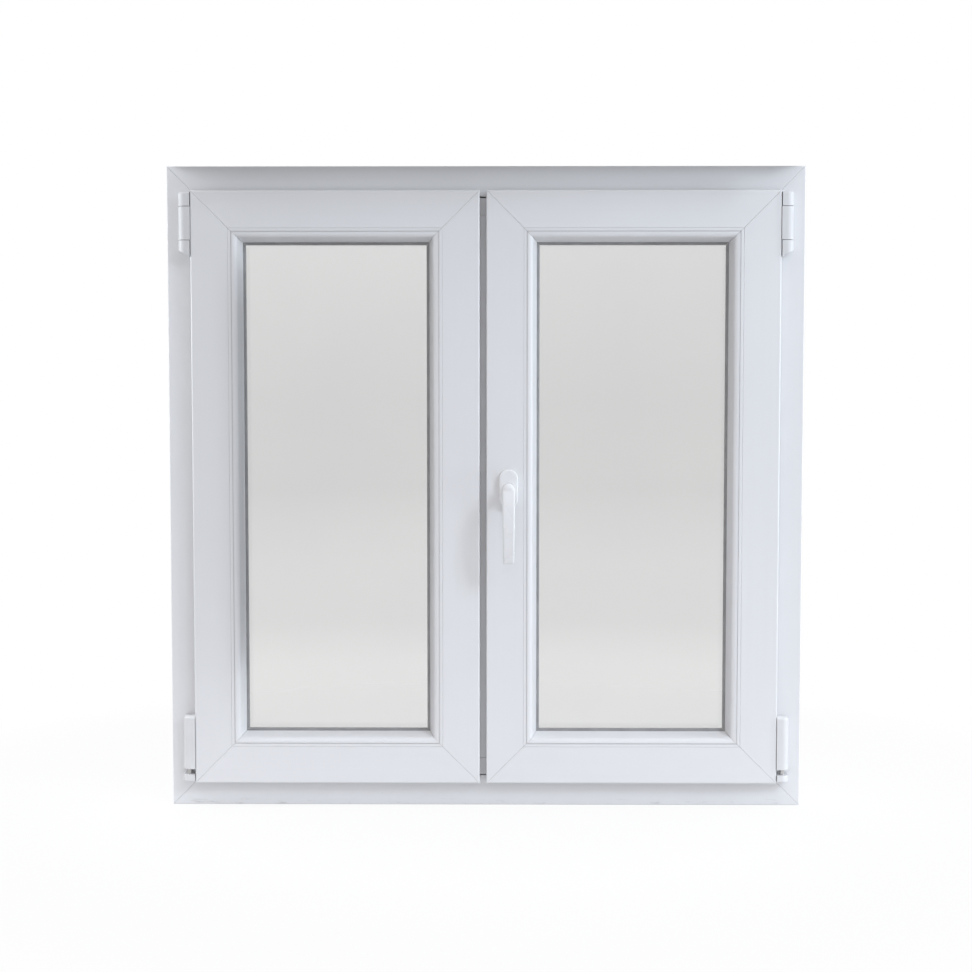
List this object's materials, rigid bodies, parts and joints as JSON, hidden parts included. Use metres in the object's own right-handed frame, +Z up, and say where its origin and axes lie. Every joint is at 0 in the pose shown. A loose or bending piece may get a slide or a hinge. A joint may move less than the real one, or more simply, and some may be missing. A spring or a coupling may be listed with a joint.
{
  "type": "pvc casement window",
  "caption": "White PVC casement window: side-hung leaves meeting on an astragal, insulating glass in rounded beads, turning lever handle on the right leaf.",
  "frame": {"origin": "middle of the frame's bottom face, half way through the frame's depth", "axes": "+X to the right seen from the room, -Y towards the room, +Z up"},
  "size_m": [0.988, 0.1519, 1],
  "materials": {
    "frame_pvc": "smooth white",
    "sash_pvc": "smooth white",
    "bead_pvc": "smooth white",
    "astragal_pvc": "smooth white",
    "glass": "clear",
    "glazing_rubber": "matt grey",
    "seal_rubber": "matt dark grey",
    "spacer_metal": "mill",
    "handle_paint": "white satin",
    "hinge_plastic": "white satin",
    "pin_steel": "plated"
  },
  "bodies": {
    "window": {"astragal": "astragal_pvc", "astragal_bottom_cap": "astragal_pvc", "astragal_top_cap": "astragal_pvc", "frame_head": "frame_pvc", "frame_left_jamb": "frame_pvc", "frame_right_jamb": "frame_pvc", "frame_sill": "frame_pvc", "handle_rosette": "handle_paint", "left_bead_bottom": "bead_pvc", "left_bead_hinge": "bead_pvc", "left_bead_meeting": "bead_pvc", "left_bead_top": "bead_pvc", "left_bottom_hinge_cover": "hinge_plastic", "left_glass_spacer": "spacer_metal", "left_glazing_gaskets": "glazing_rubber", "left_panes": "glass", "left_pivot_bearing": "hinge_plastic", "left_pivot_pin": "pin_steel", "left_sash_bottom_rail": "sash_pvc", "left_sash_hinge_stile": "sash_pvc", "left_sash_meeting_stile": "sash_pvc", "left_sash_top_rail": "sash_pvc", "left_seals": "seal_rubber", "left_top_hinge_bearing": "hinge_plastic", "left_top_hinge_knuckle": "hinge_plastic", "right_bead_bottom": "bead_pvc", "right_bead_hinge": "bead_pvc", "right_bead_meeting": "bead_pvc", "right_bead_top": "bead_pvc", "right_bottom_hinge_cover": "hinge_plastic", "right_glass_spacer": "spacer_metal", "right_glazing_gaskets": "glazing_rubber", "right_panes": "glass", "right_pivot_bearing": "hinge_plastic", "right_pivot_pin": "pin_steel", "right_sash_bottom_rail": "sash_pvc", "right_sash_hinge_stile": "sash_pvc", "right_sash_meeting_stile": "sash_pvc", "right_sash_top_rail": "sash_pvc", "right_seals": "seal_rubber", "right_top_hinge_bearing": "hinge_plastic", "right_top_hinge_knuckle": "hinge_plastic"},
    "handle": {"handle_grip": "handle_paint"}
  },
  "joints": [
    {"name": "handle_turn", "type": "hinge", "parent": "window", "child": "handle", "pos_m": [0.0358, -0.065, 0.502], "axis": [0, -1, 0], "range_deg": [0, 180]}
  ]
}
